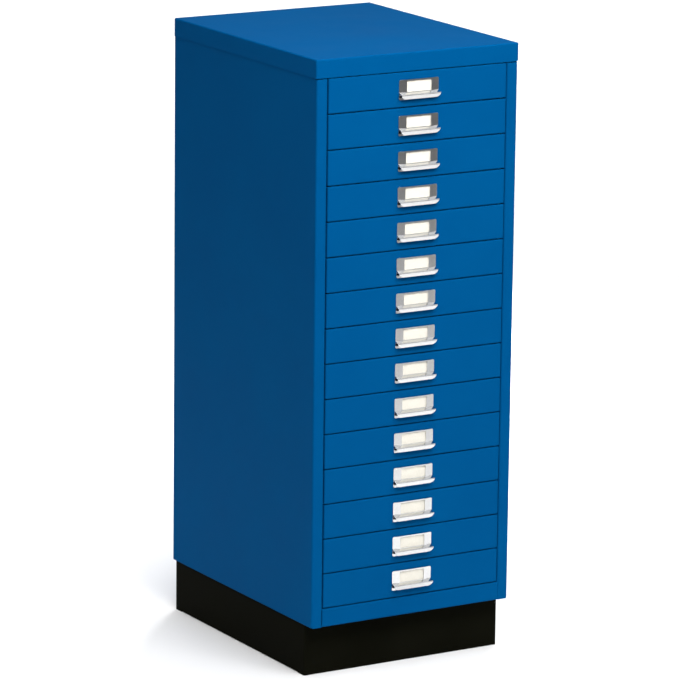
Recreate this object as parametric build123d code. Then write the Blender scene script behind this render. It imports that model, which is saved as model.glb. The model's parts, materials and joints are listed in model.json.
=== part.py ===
from build123d import *
import os

os.makedirs("parts", exist_ok=True)

# Steel cabinet of shallow drawers on a plinth. Millimetres; floor at z = 0, front towards -Y.
WIDTH = 349.0
DEPTH = 432.0
PLINTH_HEIGHT = 80.0
RAIL_HEIGHT = 28.75
DRAWER_COUNT = 15
DRAWER_PITCH = 53.5

# Sheet thicknesses
CAP_SHEET = 1.2
SHEET = 1.0
DRAWER_SHEET = 0.8
PLINTH_SHEET = 1.5

# Carcass folds
CAP_BEND = 2.5
SIDE_BEND = 3.0
FLANGE_WIDTH = 18.5
LIP_DEPTH = 12.0
RAIL_RETURN = 20.0
JOINT_GAP = 0.5

# Runners and the posts that carry them
POST_WIDTH = 30.0
POST_SETBACK = 18.0
POST_BEND = 2.0
RUNNER_LEDGE = 10.8
RUNNER_WEB = 8.0
RUNNER_BEND = 1.5
RUNNER_STOP = 9.0
RUNNER_RISE = 1.2

# Drawer fronts and trays
DRAWER_GAP = 1.5
SIDE_GAP = 1.5
FRONT_DEPTH = 6.0
FRONT_BEND = 1.6
TRAY_INSET = 0.8
TRAY_DROP = 2.0
TRAY_BEND = 1.5
HEM_HEIGHT = 6.0
RUN_CLEARANCE = 0.2
REAR_CLEARANCE = 1.5
STOP_CLEARANCE = 0.3

# Pull with card frame above and finger lip below
PULL_WIDTH = 68.0
PULL_HEIGHT = 30.0
PULL_SHEET = 1.0
PULL_CORNER = 2.0
HANDLE_REACH = 9.0
GRIP_TOP = -3.5
GRIP_DROP = 3.0
GRIP_FACE = 1.5
GRIP_LEAN = 2.0
GRIP_MARGIN = 1.5
GRIP_BEND = 1.5
GRIP_CORNER = 8.0
WINDOW_SIDE = 12.75
WINDOW_BORDER = 2.2
WINDOW_TOP = 2.0
WINDOW_CORNER = 1.2
FRAME_SLOPE = 5.5
CARD_POCKET = 1.2
CARD_SHEET = 0.3
CARD_CLEARANCE = 0.6
PRONG_INSET = 4.0
PRONG_HEIGHT = 6.0
PRONG_LENGTH = 5.0
PRONG_CLEARANCE = 0.2

# Plinth channels and the bolts that hold them to the body
PLINTH_INSET = 4.0
PLINTH_RECESS = 25.0
PLINTH_BEND = 2.5
PLINTH_RETURN = 20.0
BOLT_DIAMETER = 6.0
BOLT_HEAD = 10.0
BOLT_HEAD_HEIGHT = 4.0
NUT_HEIGHT = 5.0
BOLT_END = 2.0
BOLT_HOLE = 6.6
BOLT_INSET = 12.0
BOLT_FROM_END = 95.0

# Planes that several pieces share
FRONT_Y = (HANDLE_REACH - DEPTH) / 2
REAR_Y = FRONT_Y + DEPTH
BODY_Z = PLINTH_HEIGHT
TOP_Z = BODY_Z + 2 * RAIL_HEIGHT + DRAWER_COUNT * DRAWER_PITCH
SIDE_X = WIDTH / 2 - CAP_SHEET
OPENING_X = SIDE_X - FLANGE_WIDTH
BACK_Y = REAR_Y - CAP_SHEET
BASE_TOP = BODY_Z + 2 * SHEET
WEB_X = OPENING_X + SHEET
FRONT_WIDTH = 2 * (OPENING_X - SIDE_GAP)
FRONT_HEIGHT = DRAWER_PITCH - DRAWER_GAP
TRAY_X = FRONT_WIDTH / 2 - TRAY_INSET
TRAY_FRONT_Y = FRONT_Y + FRONT_DEPTH
TRAY_REAR_Y = BACK_Y - SHEET - REAR_CLEARANCE
LEDGE_BOTTOM = RUNNER_RISE - FRONT_HEIGHT / 2
PLINTH_X = WIDTH / 2 - PLINTH_INSET
PLINTH_FRONT_Y = FRONT_Y + PLINTH_RECESS
PLINTH_REAR_Y = REAR_Y - PLINTH_INSET
BOLT_X = PLINTH_X - BOLT_INSET
WINDOW_WIDTH = PULL_WIDTH - 2 * WINDOW_SIDE
PRONG_X = PULL_WIDTH / 2 - PRONG_INSET
BOLT_Y = [PLINTH_FRONT_Y + BOLT_FROM_END, PLINTH_REAR_Y - BOLT_FROM_END]


def block(x0, x1, y0, y1, z0, z1):
    """Rectangular block between opposite corners."""
    solid = Box(x1 - x0, y1 - y0, z1 - z0)
    return Pos((x0 + x1) / 2, (y0 + y1) / 2, (z0 + z1) / 2) * solid


def folded(points, thickness, bend):
    """Section of a sheet folded along the outline of its outer face, the sheet on the left."""
    outer = FilletPolyline(*points, radius=bend)
    return make_face(offset(outer, amount=thickness, side=Side.LEFT, closed=True))


def along_x(section, x0, x1):
    """Section drawn in (y, z), run along X."""
    return Pos(x0, 0, 0) * extrude(Plane.YZ * section, x1 - x0, dir=(1, 0, 0))


def along_y(section, y0, y1):
    """Section drawn in (x, z), run along Y."""
    return Pos(0, y0, 0) * extrude(Plane.XZ * section, y1 - y0, dir=(0, 1, 0))


def along_z(section, z0, z1):
    """Section drawn in (x, y), run along Z."""
    return Pos(0, 0, z0) * extrude(section, z1 - z0, dir=(0, 0, 1))


def drawer_z(number):
    """Middle height of a drawer front, counted from the top."""
    return TOP_Z - RAIL_HEIGHT - (number - 0.5) * DRAWER_PITCH


def top_cap():
    skirt = RAIL_HEIGHT - DRAWER_GAP / 2
    outer = block(-WIDTH / 2, WIDTH / 2, FRONT_Y, REAR_Y, TOP_Z - skirt, TOP_Z)
    outer_edges = outer.edges().filter_by(Axis.Z) + outer.edges().group_by(Axis.Z)[-1]
    outer = fillet(outer_edges, CAP_BEND)
    inside_top = TOP_Z - CAP_SHEET
    return outer - block(-SIDE_X, SIDE_X, FRONT_Y + CAP_SHEET, BACK_Y, inside_top - skirt, inside_top)


def right_side_panel():
    corner = [(SIDE_X, BACK_Y), (SIDE_X, FRONT_Y), (OPENING_X, FRONT_Y), (OPENING_X, FRONT_Y + LIP_DEPTH)]
    corner.reverse()
    flange_top = TOP_Z - RAIL_HEIGHT - DRAWER_GAP / 2
    panel = along_z(folded(corner, SHEET, SIDE_BEND), BODY_Z, flange_top)
    fold = BASE_TOP - BODY_Z
    panel -= block(SIDE_X - fold, SIDE_X, FRONT_Y, BACK_Y, BODY_Z, BASE_TOP)
    foot = [(WEB_X + JOINT_GAP, BODY_Z), (SIDE_X, BODY_Z), (SIDE_X, BASE_TOP + fold)]
    panel += along_y(folded(foot, SHEET, fold), FRONT_Y + SIDE_BEND, BACK_Y)
    tongue_front = FRONT_Y + CAP_SHEET + SIDE_BEND
    panel += block(SIDE_X - SHEET, SIDE_X, tongue_front, BACK_Y, flange_top, TOP_Z - CAP_SHEET)
    for y in BOLT_Y:
        panel -= Pos(BOLT_X, y, BODY_Z) * Cylinder(BOLT_HOLE / 2, 4 * SHEET)
    return panel


def back_panel():
    half = SIDE_X - SHEET
    return block(-half, half, BACK_Y - SHEET, BACK_Y, BASE_TOP, TOP_Z - CAP_SHEET)


def base_panel():
    half = SIDE_X - (BASE_TOP - BODY_Z)
    behind_lip = FRONT_Y + LIP_DEPTH + JOINT_GAP
    panel = block(-half, half, behind_lip, BACK_Y, BODY_Z + SHEET, BASE_TOP)
    tongue = OPENING_X - JOINT_GAP
    panel += block(-tongue, tongue, FRONT_Y + SIDE_BEND, behind_lip, BODY_Z + SHEET, BASE_TOP)
    for x in (-BOLT_X, BOLT_X):
        for y in BOLT_Y:
            panel -= Pos(x, y, BASE_TOP) * Cylinder(BOLT_HOLE / 2, 4 * SHEET)
    return panel


def bottom_front_rail():
    top = BODY_Z + RAIL_HEIGHT - DRAWER_GAP / 2
    section = [
        (FRONT_Y + RAIL_RETURN, BODY_Z),
        (FRONT_Y, BODY_Z),
        (FRONT_Y, top),
        (FRONT_Y + LIP_DEPTH, top),
    ]
    section.reverse()
    return along_x(folded(section, SHEET, BASE_TOP - BODY_Z), -OPENING_X, OPENING_X)


def right_runner_posts():
    outer = SIDE_X - SHEET
    first = FRONT_Y + POST_SETBACK
    last = BACK_Y - SHEET - POST_WIDTH
    posts = []
    for y in (first, last):
        section = [(outer, y), (WEB_X, y), (WEB_X, y + POST_WIDTH), (outer, y + POST_WIDTH)]
        section.reverse()
        posts.append(along_z(folded(section, SHEET, POST_BEND), BASE_TOP, TOP_Z - CAP_SHEET))
    return posts


def right_runner():
    section = [(OPENING_X - RUNNER_LEDGE, LEDGE_BOTTOM), (WEB_X, LEDGE_BOTTOM)]
    section.append((WEB_X, LEDGE_BOTTOM + RUNNER_WEB))
    front = FRONT_Y + LIP_DEPTH + JOINT_GAP
    stop = TRAY_REAR_Y + STOP_CLEARANCE
    runner = along_y(folded(section, SHEET, RUNNER_BEND), front, stop + SHEET)
    stop_top = LEDGE_BOTTOM + RUNNER_STOP
    return runner + block(OPENING_X - RUNNER_LEDGE, OPENING_X, stop, stop + SHEET, LEDGE_BOTTOM, stop_top)


def plinth_end(face, inward):
    """Plinth front or rear: wrapped round both corners, with returns at floor and body."""
    leg = face + inward * PLINTH_RETURN
    wrap = [(-PLINTH_X, leg), (-PLINTH_X, face), (PLINTH_X, face), (PLINTH_X, leg)]
    if inward < 0:
        wrap.reverse()
    panel = along_z(folded(wrap, PLINTH_SHEET, PLINTH_BEND), 0, PLINTH_HEIGHT)
    y0, y1 = sorted((face + inward * PLINTH_SHEET / 2, leg))
    half = PLINTH_X - PLINTH_BEND
    panel += block(-half, half, y0, y1, 0, PLINTH_SHEET)
    panel += block(-half, half, y0, y1, PLINTH_HEIGHT - PLINTH_SHEET, PLINTH_HEIGHT)
    return panel


def right_plinth_side():
    front = PLINTH_FRONT_Y + PLINTH_RETURN
    rear = PLINTH_REAR_Y - PLINTH_RETURN
    inner = PLINTH_X - PLINTH_RETURN
    section = [(inner, 0), (PLINTH_X, 0), (PLINTH_X, PLINTH_HEIGHT), (inner, PLINTH_HEIGHT)]
    side = along_y(folded(section, PLINTH_SHEET, PLINTH_BEND), front, rear)
    for y in BOLT_Y:
        side -= Pos(BOLT_X, y, PLINTH_HEIGHT) * Cylinder(BOLT_HOLE / 2, 4 * PLINTH_SHEET)
    return side


def plinth_fixings():
    under = PLINTH_HEIGHT - PLINTH_SHEET
    hexagon = RegularPolygon(BOLT_HEAD / 2, 6, major_radius=False)
    shank_end = BASE_TOP + NUT_HEIGHT + BOLT_END
    head = along_z(hexagon, under - BOLT_HEAD_HEIGHT, under)
    bolt = head + along_z(Circle(BOLT_DIAMETER / 2), under, shank_end)
    nut = along_z(hexagon - Circle(BOLT_DIAMETER / 2), BASE_TOP, BASE_TOP + NUT_HEIGHT)
    pieces = []
    for x in (-BOLT_X, BOLT_X):
        for y in BOLT_Y:
            pieces.append(Pos(x, y, 0) * bolt)
            pieces.append(Pos(x, y, 0) * nut)
    return pieces


def drawer_front():
    half = FRONT_WIDTH / 2
    top = FRONT_HEIGHT / 2
    outer = block(-half, half, FRONT_Y, TRAY_FRONT_Y, -top, top)
    outer = fillet(outer.edges().filter_by(Axis.Y) + outer.edges().group_by(Axis.Y)[0], FRONT_BEND)
    wall = DRAWER_SHEET
    inner = block(wall - half, half - wall, FRONT_Y + wall, TRAY_FRONT_Y + wall, wall - top, top - wall)
    inner_edges = inner.edges().filter_by(Axis.Y) + inner.edges().group_by(Axis.Y)[0]
    pan = outer - fillet(inner_edges, FRONT_BEND - wall)
    slot = PULL_SHEET + 2 * PRONG_CLEARANCE
    slot_height = PRONG_HEIGHT + 2 * PRONG_CLEARANCE
    for x in (-PRONG_X, PRONG_X):
        pan -= Pos(x, FRONT_Y, PRONG_HEIGHT / 2) * Box(slot, 4 * wall, slot_height)
    return pan


def drawer_tray():
    bottom = LEDGE_BOTTOM + SHEET + RUN_CLEARANCE
    top = FRONT_HEIGHT / 2 - TRAY_DROP
    outer = block(-TRAY_X, TRAY_X, TRAY_FRONT_Y, TRAY_REAR_Y, bottom, top)
    outer = fillet(outer.edges().filter_by(Axis.Y).group_by(Axis.Z)[0], TRAY_BEND)
    wall = DRAWER_SHEET
    inside = TRAY_X - wall
    front = TRAY_FRONT_Y + wall
    rear = TRAY_REAR_Y - wall
    inner = block(-inside, inside, front, rear, bottom + wall, top + wall)
    inner = fillet(inner.edges().filter_by(Axis.Y).group_by(Axis.Z)[0], TRAY_BEND - wall)
    tray = outer - inner
    hem = inside - wall
    tray += block(hem, inside, front, rear, top - HEM_HEIGHT, top)
    tray += block(-inside, -hem, front, rear, top - HEM_HEIGHT, top)
    return tray


def finger_lip():
    """Lip that slopes out from the plate, turns down and leans back, its lower corners rounded."""
    half = PULL_WIDTH / 2
    tip = FRONT_Y - HANDLE_REACH
    nose = GRIP_TOP - GRIP_DROP
    foot = GRIP_MARGIN - PULL_HEIGHT / 2
    path = [(FRONT_Y - PULL_SHEET / 2, GRIP_TOP), (tip, nose), (tip, nose - GRIP_FACE)]
    path.append((tip + GRIP_LEAN, foot))
    lip = along_x(folded(path, PULL_SHEET, GRIP_BEND), -half, half)
    outline = RectangleRounded(PULL_WIDTH, PULL_HEIGHT, GRIP_CORNER)
    return lip & Pos(0, 0, foot + PULL_HEIGHT / 2) * along_y(outline, tip - PULL_SHEET, FRONT_Y)


def drawer_pull():
    top = PULL_HEIGHT / 2
    plate_section = Plane.XZ * RectangleRounded(PULL_WIDTH, PULL_HEIGHT, PULL_CORNER)
    plate = Pos(0, FRONT_Y, 0) * extrude(plate_section, PULL_SHEET)
    pocket_x = WINDOW_WIDTH / 2 + WINDOW_BORDER
    slope_x = pocket_x + FRAME_SLOPE
    pocket_y = FRONT_Y - CARD_POCKET
    frame = Polygon((-slope_x, FRONT_Y), (-pocket_x, pocket_y), (pocket_x, pocket_y), (slope_x, FRONT_Y),
                    align=None)
    pull = plate + Pos(0, -PULL_SHEET, 0) * along_z(frame, GRIP_TOP - PULL_SHEET, top)
    pull += finger_lip()
    pull -= along_z(frame, GRIP_TOP, top)
    window_height = top - WINDOW_TOP - GRIP_TOP
    window = Plane.XZ * RectangleRounded(WINDOW_WIDTH, window_height, WINDOW_CORNER)
    window_z = GRIP_TOP + window_height / 2
    pull -= Pos(0, FRONT_Y, window_z) * extrude(window, HANDLE_REACH)
    inner_face = FRONT_Y + DRAWER_SHEET + PRONG_CLEARANCE
    for side in (-1, 1):
        outside = side * (PRONG_X + PULL_SHEET / 2)
        inside = outside - side * PULL_SHEET
        bent = outside - side * PRONG_LENGTH
        x0, x1 = sorted((outside, inside))
        pull += block(x0, x1, FRONT_Y, inner_face + PULL_SHEET, 0, PRONG_HEIGHT)
        x0, x1 = sorted((outside, bent))
        pull += block(x0, x1, inner_face, inner_face + PULL_SHEET, 0, PRONG_HEIGHT)
    return pull


def label_card():
    half = WINDOW_WIDTH / 2 + WINDOW_BORDER - CARD_CLEARANCE
    top = PULL_HEIGHT / 2 - CARD_CLEARANCE
    return block(-half, half, FRONT_Y - CARD_SHEET, FRONT_Y, GRIP_TOP, top)


def save(node, shapes):
    """One file for one node: a single solid, or a group of separate solids."""
    solids = []
    for shape in shapes:
        solids.extend(shape.solids())
    group = solids[0] if len(solids) == 1 else Compound(children=solids)
    group.label = node
    export_step(group, "parts/" + node + ".step")


def mirrored(shapes):
    """The same pieces on the left-hand side."""
    return [mirror(shape, about=Plane.YZ) for shape in shapes]


def save_pair(left_node, right_node, shapes):
    save(right_node, shapes)
    save(left_node, mirrored(shapes))


save("top_cap", [top_cap()])
save_pair("left_side_panel", "right_side_panel", [right_side_panel()])
save("back_panel", [back_panel()])
save("base_panel", [base_panel()])
save("bottom_front_rail", [bottom_front_rail()])
save_pair("left_runner_posts", "right_runner_posts", right_runner_posts())
save("plinth_front", [plinth_end(PLINTH_FRONT_Y, 1)])
save("plinth_rear", [plinth_end(PLINTH_REAR_Y, -1)])
save_pair("plinth_left", "plinth_right", [right_plinth_side()])
save("plinth_fixings", plinth_fixings())

runner = right_runner()
front = drawer_front()
tray = drawer_tray()
pull = drawer_pull()
card = label_card()
runners = []
for number in range(1, DRAWER_COUNT + 1):
    place = Pos(0, 0, drawer_z(number))
    drawer = "drawer_{:02d}".format(number)
    runners.append(place * runner)
    save(drawer + "_box", [place * front, place * tray])
    save(drawer + "_pull", [place * pull])
    save(drawer + "_label", [place * card])
save_pair("left_drawer_runners", "right_drawer_runners", runners)
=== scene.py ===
import json
import math
import bpy
from mathutils import Matrix, Vector

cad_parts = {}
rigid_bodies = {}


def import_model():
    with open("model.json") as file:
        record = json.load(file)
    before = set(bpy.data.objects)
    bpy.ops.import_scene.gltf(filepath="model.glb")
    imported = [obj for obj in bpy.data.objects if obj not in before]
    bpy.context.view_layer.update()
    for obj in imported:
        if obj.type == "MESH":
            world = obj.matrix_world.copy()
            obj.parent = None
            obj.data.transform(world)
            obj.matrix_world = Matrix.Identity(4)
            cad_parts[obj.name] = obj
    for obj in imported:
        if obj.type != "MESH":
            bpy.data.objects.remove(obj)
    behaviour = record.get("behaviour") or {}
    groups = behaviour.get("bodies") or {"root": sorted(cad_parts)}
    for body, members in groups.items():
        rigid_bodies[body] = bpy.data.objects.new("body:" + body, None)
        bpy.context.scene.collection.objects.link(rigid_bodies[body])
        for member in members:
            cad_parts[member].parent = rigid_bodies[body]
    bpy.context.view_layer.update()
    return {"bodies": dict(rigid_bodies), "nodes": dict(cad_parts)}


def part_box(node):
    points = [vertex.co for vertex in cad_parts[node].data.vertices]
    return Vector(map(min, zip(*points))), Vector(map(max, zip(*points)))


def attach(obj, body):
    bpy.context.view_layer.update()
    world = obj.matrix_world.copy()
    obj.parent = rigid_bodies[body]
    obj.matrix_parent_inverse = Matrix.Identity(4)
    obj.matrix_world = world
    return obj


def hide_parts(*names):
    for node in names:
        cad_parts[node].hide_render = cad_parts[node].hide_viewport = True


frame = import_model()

scene = bpy.context.scene
nodes = frame["nodes"]

# Plinth: four black powder-coated steel channels under the body.
# The front and rear ones are folded round the corners, and the sides butt against them.
# The coat is nearly matt, with a fine grain and faint cloudy patches.

PATTERN_LOW = 0.3
PATTERN_HIGH = 0.7
BLACK_DARK = (0.0036, 0.0037, 0.0021)
BLACK_LIGHT = (0.0054, 0.0055, 0.0033)
BLACK_GLOSS = 0.005


def wire(tree, out_node, out_name, in_node, in_name):
    tree.links.new(out_node.outputs[out_name], in_node.inputs[in_name])


def speckle(tree, place, scale, detail, rough):
    """Cloudy pattern fixed to the piece."""
    noise = tree.nodes.new("ShaderNodeTexNoise")
    noise.inputs["Scale"].default_value = scale
    noise.inputs["Detail"].default_value = detail
    noise.inputs["Roughness"].default_value = rough
    wire(tree, place, "Object", noise, "Vector")
    return noise


def spread(tree, source, low, high):
    """Brings the middle of a cloudy pattern to a chosen range."""
    span = tree.nodes.new("ShaderNodeMapRange")
    span.inputs["From Min"].default_value = PATTERN_LOW
    span.inputs["From Max"].default_value = PATTERN_HIGH
    span.inputs["To Min"].default_value = low
    span.inputs["To Max"].default_value = high
    wire(tree, source, "Fac", span, "Value")
    return span


def tint(tree, source, dark, light):
    """Colour between two close shades by a cloudy pattern."""
    ramp = tree.nodes.new("ShaderNodeValToRGB")
    ramp.color_ramp.elements[0].position = PATTERN_LOW
    ramp.color_ramp.elements[0].color = (*dark, 1.0)
    ramp.color_ramp.elements[1].position = PATTERN_HIGH
    ramp.color_ramp.elements[1].color = (*light, 1.0)
    wire(tree, source, "Fac", ramp, "Fac")
    return ramp


def relief(tree, source, depth, strength, under=None):
    """Bump from a pattern, laid over another bump when one is given."""
    bump = tree.nodes.new("ShaderNodeBump")
    bump.inputs["Strength"].default_value = strength
    bump.inputs["Distance"].default_value = depth
    wire(tree, source, "Fac", bump, "Height")
    if under is not None:
        wire(tree, under, "Normal", bump, "Normal")
    return bump


def finish_start(name):
    """New material with its surface shader and the piece's own coordinates."""
    material = bpy.data.materials.new(name)
    material.use_nodes = True
    tree = material.node_tree
    surface = tree.nodes["Principled BSDF"]
    place = tree.nodes.new("ShaderNodeTexCoord")
    return material, tree, surface, place


def finish_surface(tree, surface, shade, sheen, bump):
    """Joins colour, roughness and bump to the surface shader."""
    wire(tree, shade, "Color", surface, "Base Color")
    wire(tree, sheen, "Result", surface, "Roughness")
    wire(tree, bump, "Normal", surface, "Normal")


def coat(node_name, material):
    """Gives a carried-over node its finish."""
    piece = nodes[node_name]
    piece.data.materials.clear()
    piece.data.materials.append(material)


black_coat, tree, surface, place = finish_start("black_powder_coat")
surface.inputs["Specular IOR Level"].default_value = BLACK_GLOSS
grain = speckle(tree, place, scale=900.0, detail=3.0, rough=0.6)
cloud = speckle(tree, place, scale=9.0, detail=4.0, rough=0.55)
shade = tint(tree, cloud, BLACK_DARK, BLACK_LIGHT)
sheen = spread(tree, cloud, low=0.42, high=0.56)
finish_surface(tree, surface, shade, sheen, relief(tree, grain, depth=0.0002, strength=0.25))
for name in ("plinth_front", "plinth_rear", "plinth_left", "plinth_right"):
    coat(name, black_coat)

# Plinth fixings: four hexagon bolts with nuts that clamp the plinth to the body.
# They are steel, plated with bright zinc that shows a fine crystal pattern.

ZINC_DARK = (0.40, 0.42, 0.44)
ZINC_LIGHT = (0.60, 0.62, 0.63)
CRYSTALS_PER_METRE = 160.0

zinc, tree, surface, place = finish_start("bright_zinc")
surface.inputs["Metallic"].default_value = 1.0
spangle = tree.nodes.new("ShaderNodeTexVoronoi")
spangle.inputs["Scale"].default_value = CRYSTALS_PER_METRE
wire(tree, place, "Object", spangle, "Vector")
flakes = tree.nodes.new("ShaderNodeValToRGB")
flakes.color_ramp.elements[0].color = (*ZINC_DARK, 1.0)
flakes.color_ramp.elements[1].color = (*ZINC_LIGHT, 1.0)
wire(tree, spangle, "Color", flakes, "Fac")
wire(tree, flakes, "Color", surface, "Base Color")
haze = speckle(tree, place, scale=40.0, detail=3.0, rough=0.5)
wire(tree, spread(tree, haze, low=0.30, high=0.45), "Result", surface, "Roughness")
coat("plinth_fixings", zinc)

# Body: base, sides, back, bottom rail and top cap of folded and spot-welded sheet steel.
# All are powder coated blue. The coat has a fine orange peel, and large sheets are never quite flat.

BLUE_DARK = (0.0, 0.067, 0.209)
BLUE_LIGHT = (0.0, 0.073, 0.221)
BLUE_GLOSS = 0.005

blue_coat, tree, surface, place = finish_start("blue_powder_coat")
surface.inputs["Specular IOR Level"].default_value = BLUE_GLOSS
cloud = speckle(tree, place, scale=7.0, detail=4.0, rough=0.5)
peel = speckle(tree, place, scale=480.0, detail=2.0, rough=0.5)
wave = speckle(tree, place, scale=5.0, detail=1.0, rough=0.4)
shade = tint(tree, cloud, BLUE_DARK, BLUE_LIGHT)
sheen = spread(tree, cloud, low=0.36, high=0.46)
flatness = relief(tree, wave, depth=0.004, strength=0.15)
finish_surface(tree, surface, shade, sheen, relief(tree, peel, depth=0.0001, strength=0.22, under=flatness))
for name in ("base_panel", "bottom_front_rail", "left_side_panel", "right_side_panel",
             "back_panel", "top_cap"):
    coat(name, blue_coat)

# Posts and runners: folded sheet steel inside the body, zinc plated like the fixings.
# Two posts each side stand on the base panel, and the runners are spot welded to them.

for name in ("left_runner_posts", "right_runner_posts", "left_drawer_runners", "right_drawer_runners"):
    coat(name, zinc)

# Drawers: a folded front pan welded to an open tray, coated like the body.
# They slide on plain runners and close flush with the front flanges.

drawer_names = sorted(name for name in frame["bodies"] if name.startswith("drawer_"))
for drawer in drawer_names:
    coat(drawer + "_box", blue_coat)

# Pulls: one steel pressing each, bright chrome plated, with a card frame above a finger lip.
# Two prongs go through the drawer front and are bent over behind it.
# Plating rounds every cut edge a little, so the edges catch the light.

CHROME_DARK = (0.64, 0.645, 0.65)
CHROME_LIGHT = (0.70, 0.70, 0.70)
PLATED_EDGE = 0.0002
SAME_POINT = 0.00001
FLAT_ANGLE = math.radians(1.0)
CUT_EDGE_ANGLE = math.radians(40.0)
SMOOTH_ANGLE = math.radians(35.0)

chrome, tree, surface, place = finish_start("bright_chrome")
surface.inputs["Metallic"].default_value = 1.0
polish = speckle(tree, place, scale=260.0, detail=4.0, rough=0.6)
shade = tint(tree, polish, CHROME_DARK, CHROME_LIGHT)
sheen = spread(tree, polish, low=0.07, high=0.16)
finish_surface(tree, surface, shade, sheen, relief(tree, polish, depth=0.0001, strength=0.06))

top_pull = drawer_names[0] + "_pull"
pressing = bpy.data.objects.new("pull_pressing", nodes[top_pull].data.copy())
scene.collection.objects.link(pressing)
bpy.ops.object.select_all(action="DESELECT")
bpy.context.view_layer.objects.active = pressing
pressing.select_set(True)
bpy.ops.object.mode_set(mode="EDIT")
bpy.ops.mesh.select_all(action="SELECT")
bpy.ops.mesh.remove_doubles(threshold=SAME_POINT)
bpy.ops.mesh.dissolve_limited(angle_limit=FLAT_ANGLE)
bpy.ops.object.mode_set(mode="OBJECT")
rounding = pressing.modifiers.new("plated_edges", "BEVEL")
rounding.offset_type = "ABSOLUTE"
rounding.width = PLATED_EDGE
rounding.segments = 2
rounding.limit_method = "ANGLE"
rounding.angle_limit = CUT_EDGE_ANGLE
rounding.use_clamp_overlap = False
bpy.ops.object.modifier_apply(modifier=rounding.name)
bpy.ops.object.shade_smooth_by_angle(angle=SMOOTH_ANGLE)
flats = pressing.modifiers.new("flat_faces", "WEIGHTED_NORMAL")
flats.keep_sharp = True
bpy.ops.object.modifier_apply(modifier=flats.name)
pressing.data.materials.clear()
pressing.data.materials.append(chrome)


def copy_per_drawer(pattern, suffix, node_suffix):
    """One copy of the top drawer's piece on each drawer, in place of the plain node."""
    top = Vector(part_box(drawer_names[0] + node_suffix)[0])
    for drawer in drawer_names:
        piece = bpy.data.objects.new(drawer + suffix, pattern.data.copy())
        scene.collection.objects.link(piece)
        step = Vector(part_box(drawer + node_suffix)[0]) - top
        piece.data.transform(Matrix.Translation(step))
        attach(piece, drawer)
        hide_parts(drawer + node_suffix)
    bpy.data.objects.remove(pattern)


copy_per_drawer(pressing, "_pull_pressing", "_pull")

# Label cards: blank cream card, cut with blunt corners to slip down behind each frame.
# The stiff card is cut a little narrower than its pocket and keeps a slight bow towards the window.

CARD_DARK = (0.70, 0.67, 0.59)
CARD_LIGHT = (0.78, 0.75, 0.67)
CARD_GLOSS = 0.2
CARD_THICKNESS = 0.0003
CARD_BOW = 0.0004
CARD_CORNER = 0.0008
CARD_STRIPS = 16

card, tree, surface, place = finish_start("cream_card")
surface.inputs["Specular IOR Level"].default_value = CARD_GLOSS
fibre = speckle(tree, place, scale=700.0, detail=5.0, rough=0.65)
shade = tint(tree, fibre, CARD_DARK, CARD_LIGHT)
sheen = spread(tree, fibre, low=0.80, high=0.95)
finish_surface(tree, surface, shade, sheen, relief(tree, fibre, depth=0.0001, strength=0.2))

low, high = (Vector(corner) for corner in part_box(drawer_names[0] + "_label"))
centre = (low + high) / 2
card_width = high.x - low.x
card_height = high.z - low.z
bpy.ops.object.select_all(action="DESELECT")
bpy.ops.mesh.primitive_plane_add(size=1.0, location=centre, rotation=(math.pi / 2, 0.0, 0.0))
blank = bpy.context.object
blank.scale = (card_width, card_height, 1.0)
bpy.ops.object.transform_apply(location=True, rotation=True, scale=True)
bpy.ops.object.mode_set(mode="EDIT")
bpy.ops.mesh.select_all(action="SELECT")
bpy.ops.mesh.bevel(offset=CARD_CORNER, segments=3, affect="VERTICES")
for cut in range(1, CARD_STRIPS):
    bpy.ops.mesh.select_all(action="SELECT")
    x = low.x + card_width * cut / CARD_STRIPS
    bpy.ops.mesh.bisect(plane_co=(x, 0.0, 0.0), plane_no=(1.0, 0.0, 0.0))
bpy.ops.object.mode_set(mode="OBJECT")
half_width = card_width / 2
for point in blank.data.vertices:
    point.co.y -= CARD_BOW * (1.0 - (point.co.x / half_width) ** 2)
thickness = blank.modifiers.new("card_thickness", "SOLIDIFY")
thickness.thickness = CARD_THICKNESS
thickness.offset = 0.0
bpy.ops.object.modifier_apply(modifier=thickness.name)
bpy.ops.object.shade_smooth_by_angle(angle=SMOOTH_ANGLE)
blank.data.materials.append(card)
copy_per_drawer(blank, "_card", "_label")

# Studio: a pale floor under soft square lights, most of them overhead and in front.
# Weak panels at the left, the right and the rear right lift the sides.
# Three more lights shine straight down and keep the floor pale.

FLOOR_SIZE = 40.0
FLOOR_DARK = (0.86, 0.86, 0.86)
FLOOR_LIGHT = (0.88, 0.88, 0.88)
FLOOR_ROUGHNESS = 0.9
FLOOR_GLOSS = 0.1
AIR_GLOW = 0.2

bpy.ops.object.select_all(action="DESELECT")
bpy.ops.mesh.primitive_plane_add(size=FLOOR_SIZE, location=(0.0, 0.0, 0.0))
floor = bpy.context.object
floor.name = "studio_floor"
pale, tree, surface, place = finish_start("pale_floor")
surface.inputs["Roughness"].default_value = FLOOR_ROUGHNESS
surface.inputs["Specular IOR Level"].default_value = FLOOR_GLOSS
dust = speckle(tree, place, scale=3.0, detail=3.0, rough=0.5)
wire(tree, tint(tree, dust, FLOOR_DARK, FLOOR_LIGHT), "Color", surface, "Base Color")
floor.data.materials.append(pale)


def soft_light(name, place, aim, width, power, cone):
    """Square lamp at a place, turned to the point that it lights. The cone is in degrees."""
    lamp = bpy.data.lights.new(name, "AREA")
    lamp.size = width
    lamp.energy = power
    lamp.spread = math.radians(cone)
    stand = bpy.data.objects.new(name, lamp)
    scene.collection.objects.link(stand)
    stand.visible_camera = False
    stand.location = place
    stand.rotation_euler = (Vector(aim) - Vector(place)).to_track_quat("-Z", "Y").to_euler()


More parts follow.
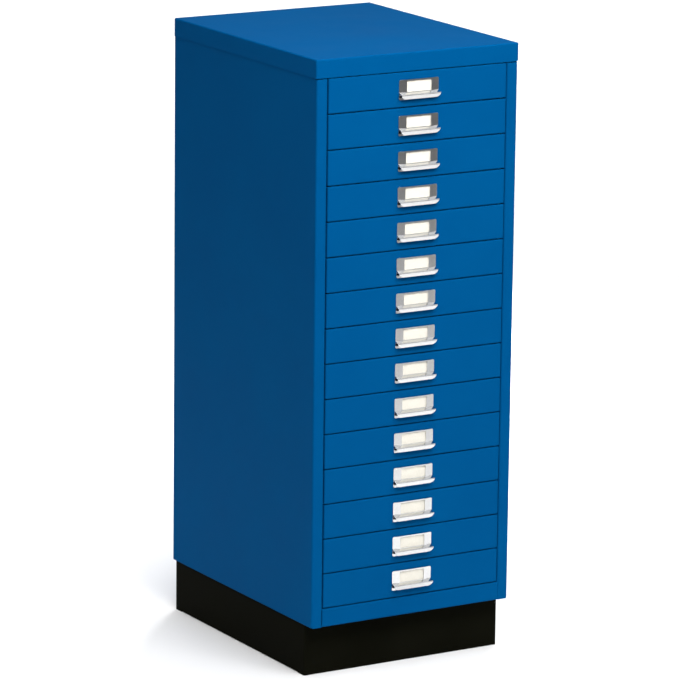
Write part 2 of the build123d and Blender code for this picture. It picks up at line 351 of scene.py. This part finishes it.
soft_light("overhead_light", place=(0.1, -0.6, 3.4), aim=(0.0, -0.2, 0.0),
           width=2.0, power=9.3, cone=80.0)
soft_light("front_light", place=(0.1, -1.6, 2.3), aim=(0.0, -0.2, 0.9),
           width=1.0, power=10.8, cone=100.0)
soft_light("front_left_light", place=(-0.8, -1.7, 2.1), aim=(0.0, -0.2, 0.4),
           width=1.0, power=10.6, cone=100.0)
soft_light("left_light", place=(-3.4, 0.6, 2.2), aim=(0.0, 0.0, 0.8),
           width=2.0, power=4.1, cone=90.0)
soft_light("right_panel_light", place=(1.5, -1.9, 2.5), aim=(0.0, -0.2, 0.5),
           width=2.2, power=12.0, cone=160.0)
soft_light("rear_right_light", place=(1.9, 2.1, 0.55), aim=(0.0, 0.0, 0.5),
           width=0.7, power=26.0, cone=90.0)
soft_light("background_light", place=(2.8, 4.5, 4.0), aim=(2.8, 4.5, 0.0),
           width=6.0, power=196.0, cone=120.0)
soft_light("rear_floor_light", place=(0.3, 1.75, 3.0), aim=(0.3, 1.75, 0.0),
           width=2.0, power=5.6, cone=30.0)
soft_light("floor_light", place=(0.85, -2.2, 3.0), aim=(0.85, -2.2, 0.0),
           width=2.4, power=6.0, cone=38.0)

world = bpy.data.worlds.new("studio_air")
scene.world = world
world.use_nodes = True
air = world.node_tree.nodes["Background"]
air.inputs["Color"].default_value = (1.0, 1.0, 1.0, 1.0)
air.inputs["Strength"].default_value = AIR_GLOW
scene.view_settings.view_transform = "Standard"

# Camera: long lens from the front left, a little above the cabinet and turned slightly about its axis.

AZIMUTH = math.radians(-30.748)
ELEVATION = math.radians(13.113)
ROLL = math.radians(0.672)
TARGET = Vector((-0.0046, -0.0015, 0.4615))
DISTANCE = 7.0
PICTURE_PIXELS = 680.0
FOCAL_PIXELS = 4573.98
SENSOR_WIDTH = 36.0
FAR_END = 100.0

back = Vector((math.sin(AZIMUTH) * math.cos(ELEVATION), -math.cos(AZIMUTH) * math.cos(ELEVATION),
               math.sin(ELEVATION)))
right = Vector((math.cos(AZIMUTH), math.sin(AZIMUTH), 0.0))
up = back.cross(right)
turned_right = right * math.cos(ROLL) + up * math.sin(ROLL)
turned_up = up * math.cos(ROLL) - right * math.sin(ROLL)
lens = bpy.data.cameras.new("photo_camera")
lens.sensor_width = SENSOR_WIDTH
lens.lens = SENSOR_WIDTH * FOCAL_PIXELS / PICTURE_PIXELS
lens.clip_end = FAR_END
camera = bpy.data.objects.new("photo_camera", lens)
scene.collection.objects.link(camera)
pose = Matrix((turned_right, turned_up, back)).transposed().to_4x4()
pose.translation = TARGET + back * DISTANCE
camera.matrix_world = pose
scene.camera = camera
